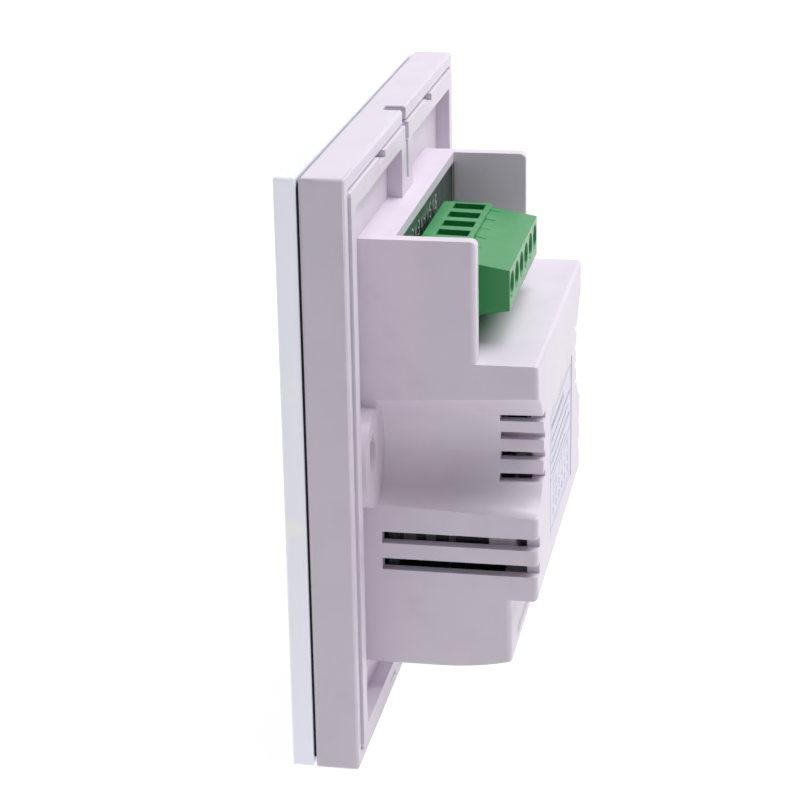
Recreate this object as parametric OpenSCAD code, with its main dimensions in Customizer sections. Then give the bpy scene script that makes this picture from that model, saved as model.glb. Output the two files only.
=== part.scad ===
// Flush wall thermostat: a glass front on a shallow housing, and a rear shell whose box
// sits in a wall box and carries a plug-in six-way screw terminal.
// X runs to the right seen from the front, +Y into the wall, +Z up.
// The wall surface is y = 0 and the origin lies midway between the two fixing holes.

/* [Front] */
// Width and height of the square glass panel
panel_w = 86; // [84:0.5:88]
// Thickness of the glass
glass_t = 3; // [2:0.1:3.6]
// Thickness of the black adhesive tape between the glass and the housing
tape_t = 0.35; // [0.3:0.05:0.6]
// Depth of the white front housing
housing_d = 6.2; // [6:0.1:6.6]
// Wall of the housing's rim
rim_t = 2; // [1.6:0.1:2.2]
// Width of the liquid crystal display
lcd_w = 62; // [50:1:64]
// Height of the liquid crystal display
lcd_h = 44; // [36:1:44]
// Number of touch springs in the row under the display
touch_n = 5; // [3:1:5]

/* [Rear shell] */
// Half width of the raised border of the rear shell
border_out = 40.7; // [40.4:0.1:40.8]
// Width of that border
border_w = 2.7; // [2:0.1:3]
// Depth of the floor below the border
floor_drop = 2.2; // [1.8:0.1:2.4]
// Half width of the box that goes into the wall
box_x = 27; // [26.5:0.1:27.5]
// Top of the box
box_top = 30.6; // [30.2:0.1:31]
// Underside of the box
box_bottom = -33.5; // [-34:0.1:-33]
// Wall thickness of the box
wall = 1.8; // [1.6:0.1:2]
// Depth of the two side cheeks beside the terminal
cheek_d = 14.3; // [13:0.1:15]
// Thickness of those cheeks
cheek_t = 2.2; // [1.8:0.1:2.2]
// Depth of the deep part of the box
box_d = 23; // [22:0.1:24]
// Depth of the lower step of the box
foot_d = 19.2; // [18.5:0.1:20]
// Height of the floor under the terminal
step_z = 13; // [12.6:0.1:13.2]
// Height at which the deep part meets the lower step
foot_z = -22.5; // [-24:0.1:-22]

/* [Fixing] */
// Distance between the two fixing holes
hole_pitch = 60.3; // [60:0.1:60.6]
// Radius of each fixing hole
hole_r = 1.9; // [1.7:0.05:2]
// Radius of the hollow beside each fixing hole, at the wall surface
hollow_r = 8.5; // [8:0.1:8.8]
// How much that radius grows to the back of the box
hollow_grow = 1.1; // [0.8:0.1:1.3]

/* [Terminal] */
// Distance between neighbouring poles
pole_pitch = 5; // [5:0.01:5.08]
// Middle of the terminal plug, to the right of the centre line
plug_x = 2.9; // [1.5:0.05:3]
// Radius of each terminal screw's shank
screw_r = 1.25; // [1.2:0.01:1.28]

/* [Hidden] */
$fn = 48;

white_plastic = [0.92, 0.90, 0.95];
terminal_green = [0.28, 0.66, 0.42];
board_green = [0.12, 0.30, 0.22];
metal = [0.78, 0.78, 0.80];
eps = 0.1;

// Depths of the front layers. The rim stops a little in front of the wall surface.
rim_back = -0.4;
housing_front = rim_back - housing_d;
tape_front = housing_front - tape_t;
glass_front = tape_front - glass_t;
half = panel_w / 2;
deck_t = 1.2;
deck_back = housing_front + deck_t;
lcd_z = 1.5;
lcd_t = 1.2;
lcd_front = tape_front + 0.05;
lcd_back = lcd_front + lcd_t;
display_front = -5;
display_back = -4;
display_half = 37;
touch_z = -31;
touch_pitch = 13;
touch_hole_r = 3.2;
display_screw_spots = [[-22, 26.6], [22, 26.6], [-22, -25], [22, -25]];

// The rear shell
plate_front = -3.6;
plate_back = -floor_drop;
border_in = border_out - border_w;
pad_half = 4.4;
ledge_back = 2.8;
ledge_wall = 1.5;
ear_x = 28.2;
ear_r = 7.1;
ear_z = -1.1;
hole_x = hole_pitch / 2;
hollow_z = -0.8;
slot_relief = 1;
latch_x = 19;
latch_w = 3.6;
pry_w = 2.8;
short_vent_z = [3.45, 0.45, -2.55, -5.55];
long_vent_z = [-13.8, -17.9];
label_x = -0.7;
label_z = -8.9;
label_w = 27;
label_h = 19.4;

// The power board and what stands on it
board_front = 0.9;
board_back = 2.5;
board_x = 24.8;
post_spots = [
    [-19.5, 8.2, box_d - wall], [19.5, 8.2, box_d - wall],
    [-21.5, -28.5, foot_d - wall], [21.5, -28.5, foot_d - wall]
];
post_r = 2.5;
pin_z = 16.2;
pin_w = 0.9;
link_z = -14;
link_pitch = 2.54;

// The terminal plug
poles = 6;
plug_w = poles * pole_pitch;
plug_front = 4.4;
plug_lip = 3.4;
plug_back = 17.7;
clamp_z = 21.4;
clamp_travel = 2;
head_r = 1.7;
head_front = 14.6;
head_back = 16.4;

// ---------------------------------------------------------------- shared shapes

// A box between two corners
module block(x0, x1, y0, y1, z0, z1) {
    translate([x0, y0, z0]) cube([x1 - x0, y1 - y0, z1 - z0]);
}

// A round bar along Y, at (x, z), from y0 to y1
module rod(x, z, y0, y1, r, r_back = -1) {
    translate([x, y0, z]) rotate([-90, 0, 0])
        cylinder(h = y1 - y0, r1 = r, r2 = r_back < 0 ? r : r_back);
}

// A rectangle between two corners with round corners
module round_rect(a0, a1, b0, b1, r) {
    translate([a0 + r, b0]) square([a1 - a0 - 2 * r, b1 - b0]);
    translate([a0, b0 + r]) square([a1 - a0, b1 - b0 - 2 * r]);
    for (a = [a0 + r, a1 - r], b = [b0 + r, b1 - r])
        translate([a, b]) circle(r);
}

// Stands an outline drawn in (x, z) up, from y0 to y1
module facing_y(y0, y1) {
    translate([0, y1, 0]) rotate([90, 0, 0]) linear_extrude(y1 - y0) children();
}

// Stands an outline drawn in (y, z) up, from x0 to x1
module facing_x(x0, x1) {
    translate([x0, 0, 0]) rotate([90, 0, 90]) linear_extrude(x1 - x0) children();
}

// Stands an outline drawn in (x, y) up, from z0 to z1
module facing_z(z0, z1) {
    translate([0, 0, z0]) linear_extrude(z1 - z0) children();
}

// A square slab, |x| and |z| up to h, with round upright corners and eased long edges
module panel(h, y0, y1, corner_r, edge_r) {
    intersection() {
        facing_y(y0, y1) round_rect(-h, h, -h, h, corner_r);
        facing_x(-h, h) round_rect(y0, y1, -h, h, edge_r);
        facing_z(-h, h) round_rect(-h, h, y0, y1, edge_r);
    }
}

// A box whose rear edges are eased
module brick(x0, x1, y0, y1, z0, z1, r) {
    intersection() {
        facing_x(x0, x1) round_rect(y0, y1, z0, z1, r);
        facing_z(z0, z1) round_rect(x0, x1, y0, y1, r);
    }
}

function pole_x(i) = plug_x + (i - (poles - 1) / 2) * pole_pitch;

// ---------------------------------------------------------------- the front

module front_glass() {
    color([0.93, 0.95, 0.97])
        panel(half, glass_front, tape_front, 0.6, 0.35);
}

module adhesive_tape() {
    inset = 0.5;
    end_inset = 1.1;
    frame_w = 6;
    color([0.06, 0.05, 0.06])
        facing_y(tape_front, housing_front) difference() {
            round_rect(-half + inset, half - inset, -half + end_inset, half - end_inset, 1);
            round_rect(-half + frame_w, half - frame_w, -half + frame_w, half - frame_w, 1);
        }
}

// Catches on the rim that sit in the notches of the rear shell's border
module rim_catches() {
    for (side = [0, 1], x = [-latch_x, latch_x])
        mirror([0, 0, side])
            block(x - latch_w / 2, x + latch_w / 2, -2.4, -1.4, border_out - 0.5, half - rim_t + eps);
}

module front_housing() {
    inside = half - rim_t;
    color(white_plastic) difference() {
        union() {
            difference() {
                panel(half, housing_front, rim_back, 0.5, 0.5);
                facing_y(deck_back, rim_back + eps)
                    round_rect(-inside, inside, -inside, inside, 0.6);
            }
            rim_catches();
            for (p = display_screw_spots)
                rod(p[0], p[1], deck_back - eps, display_front, 2.2);
        }
        // window for the display
        block(-lcd_w / 2 - 0.4, lcd_w / 2 + 0.4, housing_front - eps, deck_back + eps,
              lcd_z - lcd_h / 2 - 0.4, lcd_z + lcd_h / 2 + 0.4);
        // holes for the touch springs
        for (i = [0 : touch_n - 1])
            rod((i - (touch_n - 1) / 2) * touch_pitch, touch_z, housing_front - eps,
                deck_back + eps, touch_hole_r);
        // pilot holes for the display board's screws
        for (p = display_screw_spots)
            rod(p[0], p[1], housing_front + 0.3, display_front + eps, 0.95);
        // slot for prying the front off
        block(-pry_w / 2, pry_w / 2, rim_back - 3.1, rim_back + eps, inside - eps, half + eps);
    }
}

module lcd_panel() {
    color([0.10, 0.12, 0.16])
        block(-lcd_w / 2, lcd_w / 2, lcd_front, lcd_back, lcd_z - lcd_h / 2, lcd_z + lcd_h / 2);
}

module backlight() {
    color([0.95, 0.96, 0.98])
        block(-lcd_w / 2, lcd_w / 2, lcd_back, display_front,
              lcd_z - lcd_h / 2, lcd_z + lcd_h / 2);
}

module display_board() {
    color(board_green) difference() {
        facing_y(display_front, display_back)
            round_rect(-display_half, display_half, -display_half, display_half, 1.5);
        for (p = display_screw_spots)
            rod(p[0], p[1], display_front - eps, display_back + eps, 1.1);
    }
}

// Closed coils that carry the touch signal from the board to the glass
module touch_springs() {
    wire_r = 0.25;
    coil_r = 2.3;
    length = display_front - tape_front;
    coils = 5;
    rise = (length - 2 * wire_r) / (coils - 1);
    color(metal)
        for (i = [0 : touch_n - 1], c = [0 : coils - 1])
            translate([(i - (touch_n - 1) / 2) * touch_pitch,
                       tape_front + wire_r + c * rise, touch_z])
                rotate([90, 0, 0]) rotate_extrude() translate([coil_r, 0]) circle(wire_r, $fn = 16);
}

// A square chip with leads on all four sides, standing on a board face at y
module square_chip(x, z, y, w, leads) {
    block(x - w / 2, x + w / 2, y + 0.1, y + 1.4, z - w / 2, z + w / 2);
    pitch = w / (leads + 1);
    for (turn = [0 : 3], i = [1 : leads])
        translate([x, y, z]) rotate([0, 90 * turn, 0])
            translate([-w / 2 + i * pitch - 0.12, 0, w / 2 - eps]) cube([0.24, 0.5, 1.1]);
}

module microcontroller() {
    color([0.08, 0.08, 0.09]) square_chip(-7, 12, display_back, 10, 9);
}

module link_pins() {
    n = 5;
    color([0.10, 0.10, 0.11])
        block(-n * link_pitch / 2, n * link_pitch / 2, display_back, display_back + 2.1,
              link_z - 1.25, link_z + 1.25);
    color(metal) for (i = [0 : n - 1])
        block((i - 2) * link_pitch - 0.32, (i - 2) * link_pitch + 0.32,
              display_back + 2, board_front - 0.6, link_z - 0.32, link_z + 0.32);
}

module buzzer() {
    color([0.10, 0.10, 0.11]) difference() {
        rod(12, 16, display_back, display_back + 3.4, 4.5);
        rod(12, 16, display_back + 2.4, display_back + 3.5, 1);
    }
}

// A bead thermistor on two legs
module temperature_sensor() {
    bead = [-15, display_back + 2, -27];
    color([0.15, 0.15, 0.16]) translate(bead) sphere(1.1);
    color(metal) for (side = [-1, 1])
        rod(bead[0] + side * 0.6, bead[2], display_back, bead[1], 0.25);
}

// A pan-head screw along Y: the head's flat lies at y, the shank runs to y + length
module pan_screw(x, z, y, length, r, head_r, head_h) {
    toward = sign(length);
    difference() {
        union() {
            rod(x, z, min(y, y - toward * head_h), max(y, y - toward * head_h), head_r);
            rod(x, z, min(y, y + length), max(y, y + length), r);
        }
        // cross recess
        for (turn = [0, 90])
            translate([x, y - toward * head_h, z]) rotate([0, turn, 0])
                cube([head_r * 1.3, head_h, 0.5], center = true);
    }
}

module display_screws() {
    color(metal) for (p = display_screw_spots)
        pan_screw(p[0], p[1], display_back, -2.1, 0.9, 1.9, 0.9);
}

// ---------------------------------------------------------------- the rear shell

// The hollows that clear the screw posts of the wall box, grown by a wall when asked
module side_hollows(grow, y0, y1) {
    slope = hollow_grow / box_d;
    for (side = [-1, 1])
        rod(side * hole_x, hollow_z, y0, y1, hollow_r + slope * y0 + grow,
            hollow_r + slope * y1 + grow);
}

module shell_outside() {
    front = plate_front;
    // plate with its raised border
    difference() {
        facing_y(front, 0) round_rect(-border_out, border_out, -border_out, border_out, 0.8);
        facing_y(plate_back, eps) round_rect(-border_in, border_in, -border_in, border_in, 0.5);
    }
    // the pads that join the border to the box
    for (side = [0, 1]) mirror([0, 0, side])
        block(-pad_half, pad_half, plate_back - eps, 0, box_top - 1, border_in + eps);
    // ears with the fixing holes
    for (side = [-1, 1])
        rod(side * ear_x, ear_z, front, 0, ear_r);
    // the box: cheeks, deep part and lower step
    brick(-box_x, box_x, front, cheek_d, box_bottom, box_top, 1);
    brick(-box_x, box_x, front, box_d, foot_z, step_z, 0.7);
    brick(-box_x, box_x, front, foot_d, box_bottom, 0, 0.7);
}

// What the underside loses as it sweeps up towards the back
module underside_sweep() {
    sweep_y = 9;
    sweep_r = 41;
    difference() {
        block(-box_x - 1, box_x + 1, sweep_y, foot_d + 1, box_bottom - 1, box_bottom + 3);
        translate([-box_x - 2, sweep_y, box_bottom + sweep_r]) rotate([0, 90, 0])
            cylinder(h = 2 * box_x + 4, r = sweep_r, $fn = 360);
    }
}

// What is hollow inside the box, leaving a wall around the side hollows
module shell_inside() {
    inner = box_x - wall;
    difference() {
        union() {
            block(-inner, inner, plate_front - eps, ledge_back + eps,
                  box_bottom + wall, box_top - ledge_wall);
            block(-inner, inner, 0, box_d - wall, foot_z + wall, step_z - wall);
            block(-inner, inner, 0, foot_d - wall, box_bottom + wall, foot_z + wall + eps);
        }
        side_hollows(1.6, plate_front - 1, box_d);
    }
}

module shell_posts() {
    for (p = post_spots) rod(p[0], p[1], board_back, p[2] + eps, post_r);
}

module shell_vents() {
    short_h = 1.15;
    long_h = 1.8;
    for (side = [0, 1]) mirror([side, 0, 0]) {
        for (z = short_vent_z)
            block(19.2, box_x + eps, 16.8, box_d + eps, z - short_h / 2, z + short_h / 2);
        for (z = long_vent_z)
            block(box_x - wall - eps, box_x + eps, 0.4, box_d + eps, z - long_h / 2, z + long_h / 2);
    }
}

module fixing_holes() {
    for (side = [-1, 1]) {
        rod(side * hole_x, 0, plate_front - eps, eps, hole_r);
        // upright oval on the wall side, so that the thermostat can be levelled
        facing_y(-slot_relief, eps) translate([side * hole_x, 0])
            round_rect(-hole_r - 0.1, hole_r + 0.1, -3.1, 3.1, hole_r);
    }
}

module rear_shell() {
    color(white_plastic) difference() {
        union() {
            difference() {
                shell_outside();
                shell_inside();
                // the wiring recess between the cheeks
                block(cheek_t - box_x, box_x - cheek_t, ledge_back, box_d + 1, step_z, box_top + 1);
            }
            shell_posts();
        }
        side_hollows(0, 0, box_d + 1);
        underside_sweep();
        shell_vents();
        fixing_holes();
        for (p = post_spots) rod(p[0], p[1], board_back - eps, board_back + 7, 1.05);
        // recess for the rating label, and a shallow one in the lower step
        block(label_x - label_w / 2 - 0.4, label_x + label_w / 2 + 0.4, box_d - 0.3, box_d + eps,
              label_z - label_h / 2 - 0.4, label_z + label_h / 2 + 0.4);
        block(-21, 21, foot_d - 0.3, foot_d + eps, -31, -25);
        // notches that the housing's catches snap into
        for (side = [0, 1], x = [-latch_x, latch_x]) mirror([0, 0, side])
            block(x - latch_w / 2 - 0.4, x + latch_w / 2 + 0.4, plate_front - eps, eps,
                  border_out - 1, border_out + eps);
        // the pry slot goes on through the border, and fades out on the pad
        block(-pry_w / 2, pry_w / 2, -2.6, eps, border_in + 0.2, border_out + eps);
        block(-0.8, 0.8, -0.35, eps, border_in - 5.5, border_in + 0.3);
    }
}

module rear_label() {
    color([0.62, 0.63, 0.68])
        facing_y(box_d - 0.3, box_d - 0.08)
            round_rect(label_x - label_w / 2, label_x + label_w / 2,
                       label_z - label_h / 2, label_z + label_h / 2, 0.6);
}

// ---------------------------------------------------------------- the power board

module power_board() {
    color(board_green) difference() {
        block(-board_x, board_x, board_front, board_back, -31.2, 28.7);
        side_hollows(2, board_front - 1, board_back + 1);
        for (p = post_spots) rod(p[0], p[1], board_front - eps, board_back + eps, 1.3);
    }
}

module terminal_header() {
    x0 = plug_x - plug_w / 2 - 1.4;
    x1 = plug_x + plug_w / 2 + 1.4;
    shroud_d = 11;
    color(terminal_green) difference() {
        union() {
            block(x0, x1, board_back, board_back + 1.6, 13.3, 21);
            block(x0, x1, board_back, shroud_d, 13.3, 14.2);
            block(x0, x0 + 1, board_back, shroud_d, 13.3, 21);
            block(x1 - 1, x1, board_back, shroud_d, 13.3, 21);
        }
        for (i = [0 : poles - 1])
            block(pole_x(i) - pin_w / 2, pole_x(i) + pin_w / 2, board_back - eps, board_back + 2,
                  pin_z - pin_w / 2, pin_z + pin_w / 2);
    }
}

module header_pins() {
    color(metal) for (i = [0 : poles - 1])
        block(pole_x(i) - pin_w / 2, pole_x(i) + pin_w / 2, board_back, 9.6,
              pin_z - pin_w / 2, pin_z + pin_w / 2);
}

module relay() {
    color([0.16, 0.36, 0.62]) difference() {
        brick(-17, 2, board_back + 0.2, 18.2, -6.5, 9, 0.6);
        block(-15.4, 0.4, 17.9, 18.3, -5, 7.5);
    }
    color(metal) for (p = [[-15, -4], [-15, 6.5], [0, -4], [0, 6.5]])
        rod(p[0], p[1], board_back, board_back + 0.4, 0.5);
}

module transformer() {
    // two core halves around a wound bobbin
    color([0.20, 0.20, 0.22]) {
        block(4, 17, board_back + 2, 15, -5.5, -2.5);
        block(4, 17, board_back + 2, 15, 5.5, 8.5);
        block(4, 6.5, board_back + 2, 15, -2.6, 5.6);
        block(14.5, 17, board_back + 2, 15, -2.6, 5.6);
    }
    color([0.85, 0.70, 0.20]) rod(10.5, 1.5, board_back + 0.4, 16, 3.9);
    color([0.12, 0.12, 0.13]) block(5, 16, board_back, board_back + 2.1, -4, 7);
}

module capacitors() {
    color([0.10, 0.10, 0.11]) for (p = [[20.6, -15.2], [12, -15.4]]) difference() {
        union() {
            rod(p[0], p[1], board_back, 14, 3.6);
            rod(p[0], p[1], 14, 15.5, 3.6, 3.3);
        }
        for (turn = [45, -45])
            translate([p[0], 15.5, p[1]]) rotate([0, turn, 0]) cube([5, 0.4, 0.3], center = true);
    }
}

module film_capacitor() {
    color([0.88, 0.86, 0.80]) brick(-23, -9, board_back, 15, -19, -12.2, 0.5);
}

module varistor() {
    color([0.15, 0.32, 0.70]) translate([-16.5, 8.4, -25]) rotate([0, 90, 0])
        cylinder(h = 3.6, r = 5);
    color(metal) for (z = [-27.5, -22.5]) rod(-14.7, z, board_back, 5, 0.4);
}

module fuse() {
    color([0.80, 0.78, 0.72]) translate([-8, 5.3, -25]) rotate([0, 90, 0])
        cylinder(h = 9, r = 2.3);
    color(metal) for (x = [-8.4, -0.6]) block(x, x + 2, board_back, 5.4, -25.4, -24.6);
}

module daughter_board() {
    color(board_green) block(17.4, 18.9, board_back, 15.2, -25.6, -19.2);
    color([0.70, 0.66, 0.30]) for (y = [4.4, 7.2, 10])
        block(18.8, 19.7, y, y + 1.8, -21.9, -20.4);
    // crystal can on its upper end
    color(metal) brick(17.5, 18.8, 15.1, 17.2, -25, -20.6, 0.5);
}

// White sleeved leads: one stands beside the transformer, one on the end of the daughter
// board, and one leans over the capacitor and ends in a potted thermal fuse
module sleeved_leads() {
    lean = [24.5, board_back, -12.95];
    color([0.93, 0.92, 0.92]) {
        rod(18.15, -0.2, board_back, 20.5, 0.75);
        rod(18.2, -19.9, 15.2, 20.3, 0.7);
        translate(lean) rotate([-93, 0, 0]) cylinder(h = 13.4, r = 0.4);
        brick(20.4, 24.5, 15.5, 19.6, -16.3, -13.6, 0.5);
    }
}

module ic_chips() {
    color([0.08, 0.08, 0.09]) {
        for (x = [4, 11]) block(x, x + 4, board_back, board_back + 1.6, -27, -22);
        block(-2, 2.5, board_back, board_back + 1.8, -17.5, -11.5);
    }
}

module board_screws() {
    color(metal) for (p = post_spots)
        pan_screw(p[0], p[1], board_front, 8, 1, 2, 1.1);
}

module link_socket() {
    n = 5;
    color([0.10, 0.10, 0.11]) difference() {
        block(-n * link_pitch / 2, n * link_pitch / 2, board_front - 2.5, board_front,
              link_z - 1.25, link_z + 1.25);
        for (i = [0 : n - 1])
            block((i - 2) * link_pitch - 0.5, (i - 2) * link_pitch + 0.5,
                  board_front - 2.6, board_front - 0.3, link_z - 0.5, link_z + 0.5);
    }
}

// ---------------------------------------------------------------- the terminal plug

module plug_outline() {
    polygon([
        [plug_front, 14.6], [plug_front, 21.3], [plug_lip, 21.3], [plug_lip, 26],
        [10.9, 25.8], [10.9, 25.25],
        [plug_back, 24.05], [plug_back, 18.1], [13, 17.35], [12, 14.6]
    ]);
}

// The rooms of one pole: wire entry, clamp, screw, contact and pin
module pole_rooms(x) {
    block(x - 1.5, x + 1.5, 5.3, 10, clamp_z, 27);
    block(x - 2.05, x + 2.05, 5, 14.5, 18.9, 23.8);
    rod(x, clamp_z, 14.4, plug_back + eps, 1.95);
    block(x - 1.25, x + 1.25, 10.15, 11.05, 15.3, 19);
    block(x - 0.95, x + 0.95, plug_front - eps, 10.2, 15.25, 17.15);
}

module terminal_plug() {
    color(terminal_green) difference() {
        facing_x(plug_x - plug_w / 2, plug_x + plug_w / 2) plug_outline();
        for (i = [0 : poles - 1]) pole_rooms(pole_x(i));
        // shallow marks beside each pole, on the sloping face
        for (i = [0 : poles - 1])
            translate([pole_x(i), 11.6, 25.21]) rotate([-10, 0, 0])
                cube([1.2, 1.6, 0.3], center = true);
    }
}

// Tongue that the wire is pressed against, with the sleeve for the header's pin
module plug_contacts() {
    color(metal) for (i = [0 : poles - 1]) {
        x = pole_x(i);
        block(x - 1.2, x + 1.2, 10.2, 11, 15.4, 23.4);
        difference() {
            block(x - 0.9, x + 0.9, 4.8, 10.3, 15.3, 17.1);
            block(x - 0.55, x + 0.55, 4.7, 10.1, pin_z - 0.55, pin_z + 0.55);
        }
    }
}

module terminal_screw(n) {
    x = pole_x(n - 1);
    color(metal) difference() {
        union() {
            rod(x, clamp_z, head_front, head_back, head_r);
            rod(x, clamp_z, 11.2, head_front + eps, screw_r);
        }
        block(x - head_r - eps, x + head_r + eps, head_back - 0.9, head_back + eps,
              clamp_z - 0.35, clamp_z + 0.35);
    }
}

// A cage open along Z: its rear wall rides on the screw, its front wall pushes the wire
module wire_clamp(n) {
    x = pole_x(n - 1);
    rear = head_front - 0.2 - clamp_travel;
    color(metal) difference() {
        block(x - 1.85, x + 1.85, 5.4, rear, 19.3, 23.5);
        block(x - 1.35, x + 1.35, 6.2, rear - 1, 19.2, 23.6);
        rod(x, clamp_z, rear - 1 - eps, rear + eps, screw_r + 0.05);
    }
}

front_glass();
adhesive_tape();
front_housing();
lcd_panel();
backlight();
display_board();
touch_springs();
microcontroller();
link_pins();
buzzer();
temperature_sensor();
display_screws();
rear_shell();
rear_label();
power_board();
terminal_header();
header_pins();
relay();
transformer();
capacitors();
film_capacitor();
varistor();
fuse();
daughter_board();
sleeved_leads();
ic_chips();
board_screws();
link_socket();
terminal_plug();
plug_contacts();
terminal_screw(1);  // terminal_screw_1
terminal_screw(2);  // terminal_screw_2
terminal_screw(3);  // terminal_screw_3
terminal_screw(4);  // terminal_screw_4
terminal_screw(5);  // terminal_screw_5
terminal_screw(6);  // terminal_screw_6
wire_clamp(1);  // wire_clamp_1
wire_clamp(2);  // wire_clamp_2
wire_clamp(3);  // wire_clamp_3
wire_clamp(4);  // wire_clamp_4
wire_clamp(5);  // wire_clamp_5
wire_clamp(6);  // wire_clamp_6
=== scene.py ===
import math
import random

import bmesh
import bpy
from mathutils import Matrix, Vector


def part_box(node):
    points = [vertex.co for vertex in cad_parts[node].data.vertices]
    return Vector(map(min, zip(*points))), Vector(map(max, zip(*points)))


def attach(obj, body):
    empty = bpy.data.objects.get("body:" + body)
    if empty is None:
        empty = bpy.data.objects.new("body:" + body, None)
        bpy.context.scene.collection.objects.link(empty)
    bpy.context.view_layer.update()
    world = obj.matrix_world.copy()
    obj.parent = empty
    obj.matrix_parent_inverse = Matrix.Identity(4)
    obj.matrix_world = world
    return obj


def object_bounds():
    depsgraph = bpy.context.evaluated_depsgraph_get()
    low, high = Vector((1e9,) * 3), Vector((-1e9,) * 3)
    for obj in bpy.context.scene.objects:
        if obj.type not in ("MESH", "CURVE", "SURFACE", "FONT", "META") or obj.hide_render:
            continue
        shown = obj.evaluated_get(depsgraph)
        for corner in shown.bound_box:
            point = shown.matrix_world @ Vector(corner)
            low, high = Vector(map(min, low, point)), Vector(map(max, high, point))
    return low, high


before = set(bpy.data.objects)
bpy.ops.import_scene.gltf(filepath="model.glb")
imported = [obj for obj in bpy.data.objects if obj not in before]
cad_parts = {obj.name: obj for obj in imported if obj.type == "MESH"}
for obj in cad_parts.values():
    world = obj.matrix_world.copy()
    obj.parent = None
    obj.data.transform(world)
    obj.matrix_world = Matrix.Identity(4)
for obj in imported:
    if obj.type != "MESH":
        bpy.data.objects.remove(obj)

# A flush wall thermostat seen from behind and from its right-hand side.
# Everything is in metres, in the frame of the CAD model: +Y goes into the wall, +Z is up.

CAD_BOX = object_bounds()
MM = 0.001
# thickness of a print, and the gap that keeps it clear of the face under it
INK_T = 0.012 * MM
HAIR = 0.004 * MM
TOUCH_MARKS = 5
POLES = 6


def srgb(red, green, blue):
    """A colour given as 0 to 255 screen values, as the linear values that shaders use."""
    def linear(v):
        v /= 255
        return v / 12.92 if v <= 0.04045 else ((v + 0.055) / 1.055) ** 2.4
    return (linear(red), linear(green), linear(blue), 1.0)


# ------------------------------------------------------------------ materials

class Shader:
    """A node tree around one Principled shader, with patterns in the frame's coordinates."""

    def __init__(self, name, colour, roughness, metallic=0.0):
        self.material = bpy.data.materials.new(name)
        self.material.use_nodes = True
        self.tree = self.material.node_tree
        self.bsdf = self.tree.nodes["Principled BSDF"]
        self.bsdf.inputs["Base Color"].default_value = colour
        self.bsdf.inputs["Roughness"].default_value = roughness
        self.bsdf.inputs["Metallic"].default_value = metallic
        self.colour = colour
        self.place = self.node("ShaderNodeTexCoord").outputs["Object"]
        self.normal = None

    def node(self, kind):
        return self.tree.nodes.new(kind)

    def link(self, source, target):
        self.tree.links.new(source, target)

    def set(self, **values):
        for name, value in values.items():
            self.bsdf.inputs[name.replace("_", " ")].default_value = value
        return self

    def noise(self, size, detail=2.0, stretch=(1, 1, 1)):
        """Noise whose grains are about `size` metres across."""
        mapping = self.node("ShaderNodeMapping")
        mapping.inputs["Scale"].default_value = stretch
        self.link(self.place, mapping.inputs["Vector"])
        noise = self.node("ShaderNodeTexNoise")
        noise.inputs["Scale"].default_value = 1 / size
        noise.inputs["Detail"].default_value = detail
        self.link(mapping.outputs["Vector"], noise.inputs["Vector"])
        return noise.outputs["Fac"]

    def ramp(self, factor, low, high):
        """Maps a pattern or a coordinate so that low becomes 0 and high becomes 1."""
        span = self.node("ShaderNodeMapRange")
        span.inputs["From Min"].default_value = low
        span.inputs["From Max"].default_value = high
        self.link(factor, span.inputs["Value"])
        return span.outputs["Result"]

    def tint(self, factor, other):
        """Blends the base colour towards another one where the pattern is 1."""
        mix = self.node("ShaderNodeMix")
        mix.data_type = "RGBA"
        self.link(factor, mix.inputs["Factor"])
        socket = self.bsdf.inputs["Base Color"]
        if socket.is_linked:
            self.link(socket.links[0].from_socket, mix.inputs["A"])
        else:
            mix.inputs["A"].default_value = self.colour
        mix.inputs["B"].default_value = other
        self.link(mix.outputs["Result"], socket)
        return self

    def gloss(self, factor, low, high):
        """Lets the roughness wander between two values."""
        return self.mixed("Roughness", factor, low, high)

    def mixed(self, socket, factor, low, high):
        """Drives an input from low to high along a pattern."""
        span = self.node("ShaderNodeMapRange")
        span.inputs["To Min"].default_value = low
        span.inputs["To Max"].default_value = high
        self.link(factor, span.inputs["Value"])
        self.link(span.outputs["Result"], self.bsdf.inputs[socket])
        return self

    def square_distance(self):
        """Distance from the middle of the panel, measured as a square grows: max(|x|, |z|)."""
        parts = self.node("ShaderNodeSeparateXYZ")
        self.link(self.place, parts.inputs["Vector"])
        sizes = []
        for axis in ("X", "Z"):
            size = self.node("ShaderNodeMath")
            size.operation = "ABSOLUTE"
            self.link(parts.outputs[axis], size.inputs[0])
            sizes.append(size.outputs[0])
        largest = self.node("ShaderNodeMath")
        largest.operation = "MAXIMUM"
        self.link(sizes[0], largest.inputs[0])
        self.link(sizes[1], largest.inputs[1])
        return largest.outputs[0]

    def bump(self, factor, depth, strength=1.0):
        """Adds relief of the given depth in metres."""
        bump = self.node("ShaderNodeBump")
        bump.inputs["Distance"].default_value = depth
        bump.inputs["Strength"].default_value = strength
        self.link(factor, bump.inputs["Height"])
        if self.normal is not None:
            self.link(self.normal, bump.inputs["Normal"])
        self.normal = bump.outputs["Normal"]
        self.link(self.normal, self.bsdf.inputs["Normal"])
        return self


def scaled(colour, factor):
    return (colour[0] * factor, colour[1] * factor, colour[2] * factor, 1.0)


def moulding(name, colour, roughness, grain=0.22 * MM, relief=0.006 * MM):
    """Injection-moulded plastic: fine spark-eroded grain, cloudy gloss and faint flow marks."""
    s = Shader(name, colour, roughness)
    s.set(IOR=1.49, Specular_IOR_Level=0.45)
    cloud = s.noise(9 * MM, 3)
    flow = s.noise(16 * MM, 2, stretch=(1, 1, 0.25))
    s.tint(s.ramp(cloud, 0.42, 0.75), scaled(colour, 0.955))
    s.tint(s.ramp(flow, 0.56, 0.80), scaled(colour, 1.03))
    s.gloss(s.noise(2.4 * MM, 3), roughness - 0.06, roughness + 0.09)
    s.bump(s.noise(grain, 3), relief)
    return s


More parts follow.
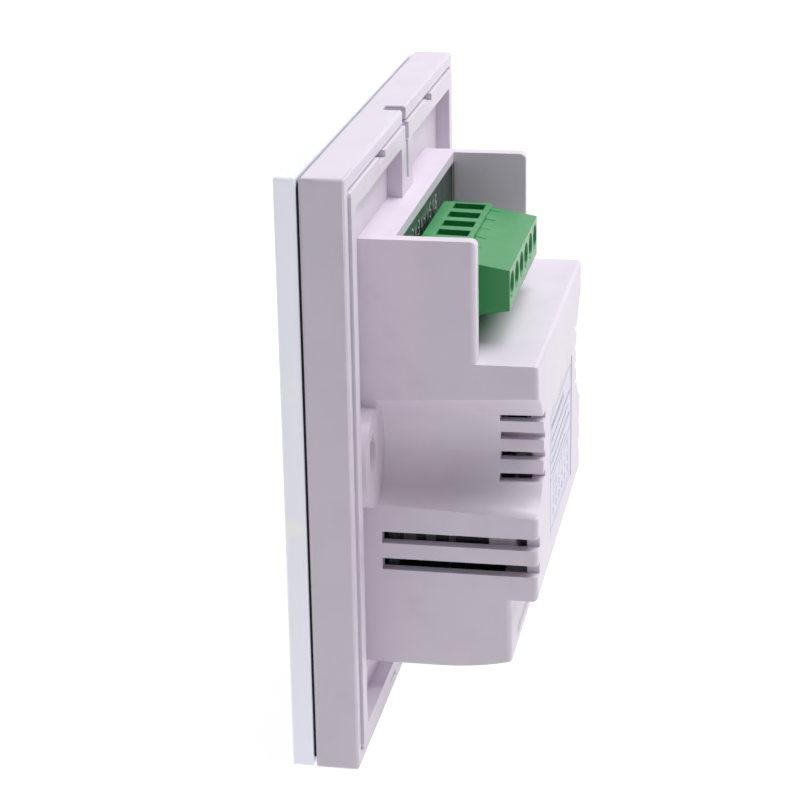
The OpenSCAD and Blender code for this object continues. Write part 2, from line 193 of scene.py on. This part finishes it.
def white_plastic():
    """Satin white plastic with a lilac cast."""
    s = moulding("abs_white", srgb(222, 213, 226), 0.36)
    s.set(Subsurface_Weight=0.05, Subsurface_Radius=(1.2, 1.0, 0.9), Subsurface_Scale=0.5 * MM)
    # warmer, slightly dulled patches where it has been handled
    s.tint(s.ramp(s.noise(6 * MM, 4), 0.58, 0.85), srgb(215, 205, 217))
    return s.material


def green_plastic():
    """Satin green polyamide, with paler streaks drawn out along Y."""
    s = moulding("terminal_green", srgb(30, 142, 70), 0.34, 0.3 * MM, 0.006 * MM)
    s.set(Subsurface_Weight=0.05, Subsurface_Radius=(0.3, 1.4, 0.6), Subsurface_Scale=0.4 * MM,
          Coat_Weight=0.45, Coat_Roughness=0.34)
    s.tint(s.ramp(s.noise(2.2 * MM, 2, stretch=(1, 0.22, 1)), 0.56, 0.78), srgb(58, 158, 96))
    return s.material


def black_plastic():
    """Matt moulded black, for chips, sockets and the small parts."""
    return moulding("black_plastic", srgb(30, 29, 31), 0.48, 0.12 * MM, 0.010 * MM).material


def front_glass():
    """Clear glass whose ground rim is milky, with painted yellowish reflection patches and a
    painted glow in the rim.
    """
    s = Shader("glass_front", (0.97, 0.985, 0.99, 1.0), 0.02)
    s.set(IOR=1.52, Coat_Weight=0.15, Coat_Roughness=0.03)
    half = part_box("front_glass")[1].x
    rim = s.ramp(s.square_distance(), half - 0.75 * MM, half - 0.35 * MM)
    frost = s.noise(5 * MM, 3, stretch=(1, 0.6, 1))
    # painted reflection: faint yellowish patches tinted into the colour of the rim
    painted_reflection_patches = s.node("ShaderNodeMath")
    painted_reflection_patches.operation = "MULTIPLY"
    s.link(rim, painted_reflection_patches.inputs[0])
    s.link(s.ramp(s.noise(9 * MM, 2), 0.60, 0.72), painted_reflection_patches.inputs[1])
    s.tint(rim, srgb(212, 213, 224))
    s.tint(painted_reflection_patches.outputs[0], srgb(226, 224, 200))
    s.mixed("Transmission Weight", rim, 1.0, 0.12)
    # painted glow: emission on the ground rim stands in for the daylight that the clear panel
    # carries to it
    s.set(Emission_Color=srgb(236, 236, 248))
    s.mixed("Emission Strength", rim, 0.0, 0.33)
    s.mixed("Roughness", rim, 0.02, 0.30)
    s.bump(frost, 0.004 * MM)
    return s.material


def glass_print():
    """White enamel fired on the back of the glass."""
    s = Shader("glass_print", srgb(243, 244, 248), 0.55)
    s.tint(s.ramp(s.noise(7 * MM, 2), 0.62, 0.80), srgb(248, 244, 214))
    s.bump(s.noise(0.15 * MM, 2), 0.002 * MM)
    return s.material


def icon_ink():
    s = Shader("icon_ink", srgb(96, 98, 106), 0.5)
    s.tint(s.noise(0.4 * MM, 3), srgb(120, 122, 130))
    return s.material


def foam_tape():
    s = Shader("tape_black", srgb(20, 15, 19), 0.85)
    s.tint(s.ramp(s.noise(0.3 * MM, 4), 0.5, 0.8), srgb(44, 36, 42))
    s.bump(s.noise(0.15 * MM, 4), 0.03 * MM)
    return s.material


def lcd_glass():
    s = Shader("lcd", srgb(20, 24, 32), 0.12)
    s.set(Coat_Weight=0.6, Coat_Roughness=0.05)
    s.tint(s.ramp(s.noise(14 * MM, 1), 0.45, 0.75), srgb(30, 38, 54))
    s.bump(s.noise(0.2 * MM, 1), 0.001 * MM)
    return s.material


def lcd_glow():
    """Lit segments of the display."""
    s = Shader("lcd_segment", srgb(225, 238, 255), 0.4)
    s.set(Emission_Color=srgb(205, 228, 255), Emission_Strength=0.8)
    s.tint(s.noise(1.5 * MM, 2), srgb(190, 214, 245))
    return s.material


def diffuser():
    s = Shader("diffuser", srgb(240, 242, 246), 0.5)
    s.set(Subsurface_Weight=0.3, Subsurface_Radius=(1, 1, 1), Subsurface_Scale=1 * MM)
    s.bump(s.noise(0.3 * MM, 1), 0.004 * MM)
    return s.material


def circuit_board():
    """Dark green solder mask over copper tracks that run at right angles."""
    s = Shader("board", srgb(22, 42, 38), 0.34)
    s.set(Coat_Weight=0.25, Coat_Roughness=0.25)
    cells = s.node("ShaderNodeTexVoronoi")
    cells.feature = "F1"
    cells.distance = "CHEBYCHEV"
    cells.inputs["Scale"].default_value = 1 / (3.2 * MM)
    cells.inputs["Randomness"].default_value = 0.85
    s.link(s.place, cells.inputs["Vector"])
    rings = s.node("ShaderNodeMath")
    rings.operation = "PINGPONG"
    rings.inputs[1].default_value = 0.11
    s.link(cells.outputs["Distance"], rings.inputs[0])
    tracks = s.ramp(rings.outputs[0], 0.055, 0.075)
    s.tint(tracks, srgb(34, 66, 54))
    s.tint(s.ramp(s.noise(0.9 * MM, 2), 0.60, 0.75), srgb(16, 32, 30))
    s.bump(tracks, 0.02 * MM, 0.6)
    s.gloss(s.noise(2 * MM, 3), 0.22, 0.42)
    return s.material


def plated_steel(name="steel", colour=srgb(188, 188, 192)):
    """Zinc-plated steel with turning marks and dulled spots."""
    s = Shader(name, colour, 0.30, metallic=1.0)
    s.gloss(s.noise(0.5 * MM, 4), 0.18, 0.46)
    s.tint(s.ramp(s.noise(0.8 * MM, 3), 0.5, 0.8), scaled(colour, 0.62))
    s.bump(s.noise(0.08 * MM, 2, stretch=(1, 0.2, 1)), 0.006 * MM)
    return s.material


def lacquer(name, colour, roughness=0.25):
    """Dipped or moulded glossy case of a component."""
    s = Shader(name, colour, roughness)
    s.set(Coat_Weight=0.4, Coat_Roughness=0.12)
    s.tint(s.ramp(s.noise(1.6 * MM, 3), 0.45, 0.8), scaled(colour, 0.72))
    s.gloss(s.noise(0.7 * MM, 3), roughness - 0.05, roughness + 0.15)
    s.bump(s.noise(0.6 * MM, 2), 0.02 * MM)
    return s.material


def label_film():
    """Silver-grey printed film with a brushed look along X."""
    s = Shader("label", srgb(220, 217, 234), 0.36, metallic=0.08)
    s.tint(s.ramp(s.noise(0.6 * MM, 3, stretch=(0.05, 1, 1)), 0.35, 0.75), srgb(206, 203, 222))
    s.gloss(s.noise(3 * MM, 2), 0.30, 0.48)
    s.bump(s.noise(0.1 * MM, 2), 0.003 * MM)
    return s.material


def ink(name, colour):
    """Print: slightly uneven ink."""
    s = Shader(name, colour, 0.6)
    s.tint(s.ramp(s.noise(0.25 * MM, 3), 0.5, 0.85), scaled(colour, 0.75))
    return s.material


def floor_paint():
    """White acrylic of a light table. It glows, so that shadows on it stay pale, and less so
    towards +X, beyond the object."""
    s = Shader("floor", (0.12, 0.12, 0.12, 1.0), 0.80)
    s.tint(s.noise(60 * MM, 2), (0.13, 0.13, 0.13, 1.0))
    s.set(Emission_Color=(1.0, 1.0, 1.0, 1.0))
    parts = s.node("ShaderNodeSeparateXYZ")
    s.link(s.place, parts.inputs["Vector"])
    s.mixed("Emission Strength", s.ramp(parts.outputs["X"], 50 * MM, 420 * MM), 0.93, 0.62)
    return s.material


WHITE = white_plastic()
GREEN = green_plastic()
BLACK = black_plastic()
GLASS = front_glass()
ENAMEL = glass_print()
ICONS = icon_ink()
TAPE = foam_tape()
LCD = lcd_glass()
GLOW = lcd_glow()
DIFFUSER = diffuser()
BOARD = circuit_board()
STEEL = plated_steel()
BRASS = plated_steel("brass", srgb(206, 190, 150))
BLUE = lacquer("relay_blue", srgb(52, 98, 160))
YELLOW = lacquer("winding", srgb(214, 178, 62), 0.35)
SLEEVE = lacquer("can_sleeve", srgb(30, 28, 32), 0.28)
STRIPE = ink("can_stripe", srgb(104, 102, 108))
WHITE_SLEEVE = lacquer("white_sleeve", srgb(236, 228, 234), 0.42)
CHIP_YELLOW = lacquer("chip_yellow", srgb(112, 108, 44), 0.45)
CREAM = lacquer("film_box", srgb(226, 222, 208), 0.30)
DARK_BLUE = lacquer("varistor_blue", srgb(34, 70, 150), 0.22)
CERAMIC = lacquer("ceramic", srgb(222, 214, 198), 0.55)
LABEL = label_film()
LABEL_INK = ink("label_ink", srgb(168, 166, 190))
WHITE_INK = ink("white_ink", srgb(214, 220, 216))
SOLDER = plated_steel("solder", srgb(206, 208, 212))
FLOOR = floor_paint()

NODE_LOOKS = {
    "front_glass": GLASS, "adhesive_tape": TAPE, "front_housing": WHITE, "lcd_panel": LCD,
    "backlight": DIFFUSER, "display_board": BOARD, "touch_springs": STEEL,
    "microcontroller": BLACK, "link_pins": BLACK, "buzzer": BLACK, "temperature_sensor": BLACK,
    "display_screws": STEEL, "rear_shell": WHITE, "rear_label": LABEL, "power_board": BOARD,
    "terminal_header": GREEN, "header_pins": BRASS, "relay": BLUE, "transformer": YELLOW,
    "capacitors": SLEEVE, "film_capacitor": CREAM, "varistor": DARK_BLUE, "fuse": CERAMIC,
    "daughter_board": BOARD, "sleeved_leads": WHITE_SLEEVE, "ic_chips": BLACK,
    "board_screws": STEEL, "link_socket": BLACK, "terminal_plug": GREEN, "plug_contacts": BRASS,
}
for number in range(1, POLES + 1):
    NODE_LOOKS[f"terminal_screw_{number}"] = STEEL
    NODE_LOOKS[f"wire_clamp_{number}"] = STEEL


def dress_cad_nodes():
    """Gives each CAD node its material, and eases its sharp edges as a mould does."""
    eased = {"rear_shell": 0.22, "front_housing": 0.18, "terminal_plug": 0.16,
             "terminal_header": 0.12, "front_glass": 0.10}
    for name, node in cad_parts.items():
        node.data.materials.clear()
        node.data.materials.append(NODE_LOOKS[name])
        if name in eased:
            soften(node, eased[name] * MM)


def soften(piece, width):
    """Welds the piece's faces, joins the flat ones and rounds the edges between them."""
    weld = piece.modifiers.new("weld", "WELD")
    weld.merge_threshold = 0.002 * MM
    flat = piece.modifiers.new("flat", "DECIMATE")
    flat.decimate_type = "DISSOLVE"
    flat.angle_limit = math.radians(0.5)
    bevel = piece.modifiers.new("bevel", "BEVEL")
    bevel.width = width
    bevel.segments = 2
    bevel.limit_method = "ANGLE"
    bevel.angle_limit = math.radians(40)
    bevel.use_clamp_overlap = True


# ------------------------------------------------------------------ printed and small pieces

def add_piece(name, bm, material, body, smooth=False):
    """Turns a bmesh into a piece that rides on a body and takes a material slot."""
    mesh = bpy.data.meshes.new(name)
    bmesh.ops.recalc_face_normals(bm, faces=bm.faces)
    bm.to_mesh(mesh)
    bm.free()
    for face in mesh.polygons:
        face.use_smooth = smooth
    piece = bpy.data.objects.new(name, mesh)
    bpy.context.scene.collection.objects.link(piece)
    mesh.materials.append(material)
    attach(piece, body)
    return piece


def add_box(bm, low, high):
    """A box between two corners."""
    centre = (Vector(low) + Vector(high)) / 2
    size = Vector(high) - Vector(low)
    place = Matrix.Translation(centre) @ Matrix.Diagonal((*size, 1))
    bmesh.ops.create_cube(bm, size=1, matrix=place)


def add_ring(bm, x, z, y0, y1, inner, outer, steps=28):
    """A flat ring, or a disc where inner is 0, lying in the XZ plane."""
    def circle(radius, y):
        return [bm.verts.new((x + radius * math.cos(2 * math.pi * i / steps), y,
                              z + radius * math.sin(2 * math.pi * i / steps)))
                for i in range(steps)]
    loops = [circle(outer, y0), circle(outer, y1)]
    if inner > 0:
        loops += [circle(inner, y1), circle(inner, y0), loops[0]]
    for a, b in zip(loops, loops[1:]):
        for i in range(steps):
            j = (i + 1) % steps
            bm.faces.new((a[i], a[j], b[j], b[i]))
    if inner == 0:
        bm.faces.new(loops[0])
        bm.faces.new(list(reversed(loops[1])))


def add_stroke(bm, a, b, y0, y1, width):
    """A straight stroke between two (x, z) points."""
    a, b = Vector(a), Vector(b)
    along = (b - a).normalized()
    side = Vector((-along.y, along.x)) * width / 2
    corners = [a - side, b - side, b + side, a + side]
    low = [bm.verts.new((p.x, y0, p.y)) for p in corners]
    high = [bm.verts.new((p.x, y1, p.y)) for p in corners]
    bm.faces.new(low)
    bm.faces.new(list(reversed(high)))
    for i in range(4):
        j = (i + 1) % 4
        bm.faces.new((low[i], low[j], high[j], high[i]))


# which bars of a seven-bar figure each digit lights: top, upper left, upper right, middle,
# lower left, lower right, bottom
FIGURES = {
    "0": "1110111", "1": "0010010", "2": "1011101", "3": "1011011", "4": "0111010",
    "5": "1101011", "6": "1101111", "7": "1010010", "8": "1111111", "9": "1111011",
}


def add_figure(bm, digit, x, z, height, y0, y1, weight=0.13, facing=1):
    """A seven-bar digit, its centre at (x, z). facing is -1 where it is read from +Y."""
    half_w, half_h = height * 0.26, height / 2
    gap = height * 0.045
    bars = [((-half_w, half_h), (half_w, half_h)), ((-half_w, half_h), (-half_w, 0)),
            ((half_w, half_h), (half_w, 0)), ((-half_w, 0), (half_w, 0)),
            ((-half_w, 0), (-half_w, -half_h)), ((half_w, 0), (half_w, -half_h)),
            ((-half_w, -half_h), (half_w, -half_h))]
    for lit, (a, b) in zip(FIGURES[digit], bars):
        if lit == "1":
            a, b = Vector(a), Vector(b)
            trim = (b - a).normalized() * gap
            a, b = a + trim, b - trim
            add_stroke(bm, (x + facing * a.x, z + a.y), (x + facing * b.x, z + b.y),
                       y0, y1, height * weight)


def glass_back_print():
    """The white print on the back of the glass, open over the display, and the touch marks."""
    low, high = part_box("front_glass")
    screen_low, screen_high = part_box("lcd_panel")
    y1 = high.y - 0.006 * MM
    y0 = y1 - INK_T
    edge = 0.25 * MM
    inset = 1.6 * MM
    left, right = screen_low.x + inset, screen_high.x - inset
    bottom, top = screen_low.z + inset, screen_high.z - inset
    bm = bmesh.new()
    outer = [(low.x + edge, low.z + edge), (high.x - edge, low.z + edge),
             (high.x - edge, high.z - edge), (low.x + edge, high.z - edge)]
    inner = [(left, bottom), (right, bottom), (right, top), (left, top)]
    loops = []
    for ring, y in ((outer, y0), (outer, y1), (inner, y1), (inner, y0)):
        loops.append([bm.verts.new((x, y, z)) for x, z in ring])
    loops.append(loops[0])
    for a, b in zip(loops, loops[1:]):
        for i in range(4):
            j = (i + 1) % 4
            bm.faces.new((a[i], a[j], b[j], b[i]))
    add_piece("glass_print", bm, ENAMEL, "front")

    springs_low, springs_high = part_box("touch_springs")
    spring_d = springs_high.z - springs_low.z
    row_z = (springs_low.z + springs_high.z) / 2
    first = springs_low.x + spring_d / 2
    step = (springs_high.x - springs_low.x - spring_d) / (TOUCH_MARKS - 1)
    ya, yb = y0 - INK_T, y0 - HAIR
    bm = bmesh.new()
    r = 1.9 * MM
    pen = 0.32 * MM
    xs = [first + step * i for i in range(TOUCH_MARKS)]
    # on and off: ring with a stroke
    add_ring(bm, xs[0], row_z, ya, yb, r - pen, r)
    add_stroke(bm, (xs[0], row_z + 0.3 * r), (xs[0], row_z + 1.5 * r), ya, yb, pen)
    # menu: three bars
    for k in (-1, 0, 1):
        z = row_z + k * r * 0.8
        add_stroke(bm, (xs[1] - r, z), (xs[1] + r, z), ya, yb, pen)
    # clock: ring with hands
    add_ring(bm, xs[2], row_z, ya, yb, r - pen, r)
    add_stroke(bm, (xs[2], row_z), (xs[2], row_z + 0.7 * r), ya, yb, pen)
    add_stroke(bm, (xs[2], row_z), (xs[2] + 0.5 * r, row_z), ya, yb, pen)
    # down and up
    for x, up in ((xs[3], -1), (xs[4], 1)):
        for side in (-1, 1):
            add_stroke(bm, (x + side * r, row_z - up * 0.5 * r), (x, row_z + up * 0.5 * r),
                       ya, yb, pen)
    add_piece("touch_marks", bm, ICONS, "front")


def display_figures():
    """What the display shows: a large reading, a set value and a few bars."""
    low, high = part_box("lcd_panel")
    y1 = low.y - HAIR
    y0 = y1 - INK_T
    middle = (low + high) / 2
    bm = bmesh.new()
    big = 19 * MM
    for k, digit in enumerate("21"):
        add_figure(bm, digit, middle.x + (k * 13 - 15) * MM, middle.z + 2 * MM, big, y0, y1)
    add_figure(bm, "5", middle.x + 9.5 * MM, middle.z - 2.5 * MM, 10 * MM, y0, y1)
    add_ring(bm, middle.x + 4.3 * MM, middle.z - 7 * MM, y0, y1, 0, 0.8 * MM)
    # degree ring
    add_ring(bm, middle.x + 9 * MM, middle.z + 10 * MM, y0, y1, 1.0 * MM, 1.5 * MM)
    for k, digit in enumerate("20"):
        add_figure(bm, digit, middle.x + (k * 4 + 18) * MM, middle.z + 8 * MM, 5.5 * MM, y0, y1)
    # four growing bars, and a row of dashes
    for k in range(4):
        x = middle.x + (17 + 2.2 * k) * MM
        add_stroke(bm, (x, middle.z - 13 * MM), (x, middle.z + (-11.2 + k) * MM),
                   y0, y1, 1.3 * MM)
    for k in range(7):
        add_stroke(bm, (middle.x + (-24 + 5 * k) * MM, middle.z - 15.5 * MM),
                   (middle.x + (-21.5 + 5 * k) * MM, middle.z - 15.5 * MM), y0, y1, 0.5 * MM)
    add_piece("display_figures", bm, GLOW, "front")


def label_print():
    """Generic wiring diagram: rule lines, rows of dashes, six numbered posts and their wires."""
    low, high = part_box("rear_label")
    y0, y1 = high.y + HAIR, high.y + HAIR + INK_T
    width, height = high.x - low.x, high.z - low.z
    rng = random.Random(7)
    bm = bmesh.new()

    def at(u, v):
        """A point on the label: u to the right as it is read from behind, v up, both 0 to 1."""
        return (high.x - u * width, low.z + v * height)

    def rule(u0, v0, u1, v1, pen=0.16 * MM):
        add_stroke(bm, at(u0, v0), at(u1, v1), y0, y1, pen)

    for a, b in (((0.03, 0.04), (0.97, 0.04)), ((0.97, 0.04), (0.97, 0.96)),
                 ((0.97, 0.96), (0.03, 0.96)), ((0.03, 0.96), (0.03, 0.04)),
                 ((0.03, 0.44), (0.97, 0.44))):
        rule(*a, *b)
    # rows of dashes
    for v, pen, end in ((0.87, 0.95, 0.62), (0.76, 0.55, 0.92), (0.67, 0.55, 0.86),
                        (0.58, 0.55, 0.9), (0.50, 0.45, 0.7)):
        u = 0.07
        while u < end:
            length = rng.uniform(0.025, 0.07)
            rule(u, v, min(u + length, end), v, pen * MM)
            u += length + rng.uniform(0.014, 0.022)
    # numbered posts and wires
    for k in range(POLES):
        u = 0.16 + 0.135 * k
        x, z = at(u, 0.14)
        add_ring(bm, x, z, y0, y1, 0.42 * MM, 0.58 * MM, 20)
        add_figure(bm, str(k + 1), *at(u, 0.235), 1.25 * MM, y0, y1, 0.14, facing=-1)
        rule(u, 0.30, u, 0.36 + 0.02 * (k % 3))
    for k in (0, 2, 4):
        u = 0.16 + 0.135 * k
        rule(u, 0.36 + 0.02 * (k % 3), u + 0.135, 0.36 + 0.02 * (k % 3))
    add_piece("label_print", bm, LABEL_INK, "back")


def board_print():
    """White print and solder pads of the power board, in the strip seen over the terminal."""
    low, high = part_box("power_board")
    y0, y1 = high.y + HAIR, high.y + HAIR + INK_T
    pins_low, pins_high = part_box("header_pins")
    step = (pins_high.x - pins_low.x - (pins_high.z - pins_low.z)) / (POLES - 1)
    first = pins_low.x + (pins_high.z - pins_low.z) / 2
    pen = 0.20 * MM
    bm = bmesh.new()
    pads = bmesh.new()
    z = high.z - 2.2 * MM
    for k in range(POLES):
        x = first + k * step
        # a number for each pole, counted from the left as it is read, and two ticks
        add_figure(bm, str(POLES - k), x, z, 2.0 * MM, y0, y1, 0.13, facing=-1)
        for shift in (1.6 * MM, 2.4 * MM):
            add_stroke(bm, (x + shift, z - 0.9 * MM), (x + shift + 0.4 * MM, z + 0.9 * MM),
                       y0, y1, pen)
        for side in (-1, 1):
            add_ring(pads, x + side * 0.9 * MM, z - 1.6 * MM, y0, y1, 0.12 * MM, 0.28 * MM, 12)
    add_piece("board_print", bm, WHITE_INK, "back")
    add_piece("board_pads", pads, SOLDER, "back")


def chip_resistors():
    """Small surface parts on the power board, beside the terminal and behind the vents."""
    y0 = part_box("power_board")[1].y + HAIR
    body, caps = bmesh.new(), bmesh.new()
    spots = [(-18.6, 18.4), (-20, 15.6), (21.4, 24.6), (21.4, 21.6), (21.4, 18.2),
             (22.3, -22.6), (5, -17.2), (-4.5, -20.2)]
    body_x = 0.65 * MM
    for x, z in spots:
        x, z = x * MM, z * MM
        add_box(body, (x - body_x, y0, z - 0.6 * MM), (x + body_x, y0 + 0.5 * MM, z + 0.6 * MM))
        for side in (-1, 1):
            a, b = sorted((x + side * body_x, x + side * 1.0 * MM))
            add_box(caps, (a, y0, z - 0.62 * MM), (b, y0 + 0.52 * MM, z + 0.62 * MM))
    add_piece("chip_resistors", body, BLACK, "back")
    add_piece("chip_resistor_ends", caps, SOLDER, "back")


def capacitor_marks():
    """Grey dashes of the polarity stripe, wrapped around each capacitor."""
    low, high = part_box("capacitors")
    radius = (high.z - low.z) / 2 - 0.1 * MM + HAIR
    outer = radius + INK_T
    bm = bmesh.new()
    for x, z in ((high.x - radius, high.z - radius), (low.x + radius, low.z + radius)):
        for k in range(3):
            y0 = low.y + (0.6 + 3.3 * k) * MM
            y1 = y0 + (1.8 - 0.4 * k) * MM
            for a in range(6):
                t0, t1 = (math.radians(-8 + 4 * (a + i)) for i in (0, 1))
                corners = []
                for r in (radius, outer):
                    for t in (t0, t1):
                        for y in (y0, y1):
                            corners.append(bm.verts.new((x + r * math.cos(t), y,
                                                         z + r * math.sin(t))))
                for face in ((0, 1, 3, 2), (4, 5, 7, 6), (0, 1, 5, 4), (2, 3, 7, 6),
                             (0, 2, 6, 4), (1, 3, 7, 5)):
                    bm.faces.new([corners[i] for i in face])
    add_piece("capacitor_marks", bm, STRIPE, "back")


def daughter_board_chips():
    """Small yellowish parts on the upright board, seen through the lower long vent."""
    low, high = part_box("daughter_board")
    face_x = high.x - 0.8 * MM
    rng = random.Random(3)
    bm = bmesh.new()
    for k in range(12):
        y = low.y + (1.6 + 0.62 * k + rng.uniform(-0.2, 0.2)) * MM
        z = -20.1 * MM + rng.uniform(-0.6, 0.2) * MM
        size = rng.uniform(0.2, 0.4) * MM
        add_box(bm, (face_x + HAIR, y, z), (face_x + 0.3 * MM, y + size, z + size))
    add_piece("daughter_board_chips", bm, CHIP_YELLOW, "back")


# ------------------------------------------------------------------ stage

def stage():
    """A pale floor, and soft light from above and behind the wall side."""
    bm = bmesh.new()
    bmesh.ops.create_grid(bm, x_segments=1, y_segments=1, size=6)
    mesh = bpy.data.meshes.new("floor")
    bm.to_mesh(mesh)
    bm.free()
    floor = bpy.data.objects.new("floor", mesh)
    floor.location = (0, 0, CAD_BOX[0].z - 0.05 * MM)
    bpy.context.scene.collection.objects.link(floor)
    mesh.materials.append(FLOOR)

    world = bpy.data.worlds.new("world")
    bpy.context.scene.world = world
    world.use_nodes = True
    background = world.node_tree.nodes["Background"]
    background.inputs["Color"].default_value = (0.97, 0.97, 1.0, 1.0)
    background.inputs["Strength"].default_value = 0.05

    add_light("key", (-0.38, 0.62, 1.42), 1.40, 34.5)
    add_light("low", (-1.30, 0.05, 0.50), 1.20, 3.2)
    add_light("fill", (1.30, 0.40, 0.72), 0.90, 1.8)
    add_light("front", (-0.30, -1.40, 0.60), 1.20, 6)
    bpy.context.scene.view_settings.view_transform = "Standard"


def add_light(name, place, size, power):
    """A square soft box that points at the object's middle."""
    data = bpy.data.lights.new(name, "AREA")
    data.shape = "SQUARE"
    data.size = size
    data.energy = power
    lamp = bpy.data.objects.new(name, data)
    lamp.location = place
    lamp.rotation_mode = "QUATERNION"
    lamp.rotation_quaternion = (-Vector(place)).to_track_quat("-Z", "Y")
    bpy.context.scene.collection.objects.link(lamp)


def camera():
    """The camera close behind the object's right-hand side, a little above it."""
    place = Vector((325.7, 60.6, 115.3)) * MM
    azimuth, elevation, roll = math.radians(100.84), math.radians(19.55), math.radians(-1.02)
    forward = Vector((-math.sin(azimuth) * math.cos(elevation),
                      math.cos(azimuth) * math.cos(elevation), -math.sin(elevation)))
    right = forward.cross(Vector((0, 0, 1))).normalized()
    up = right.cross(forward)
    turned_right = math.cos(roll) * right + math.sin(roll) * up
    turned_up = -math.sin(roll) * right + math.cos(roll) * up
    data = bpy.data.cameras.new("camera")
    data.sensor_width = 36
    data.lens = 103.36
    data.clip_start = 0.01
    data.clip_end = 50
    view = bpy.data.objects.new("camera", data)
    axes = Matrix((turned_right, turned_up, -forward)).transposed()
    view.matrix_world = Matrix.Translation(place) @ axes.to_4x4()
    bpy.context.scene.collection.objects.link(view)
    bpy.context.scene.camera = view


dress_cad_nodes()
glass_back_print()
display_figures()
label_print()
board_print()
chip_resistors()
capacitor_marks()
daughter_board_chips()
stage()
camera()
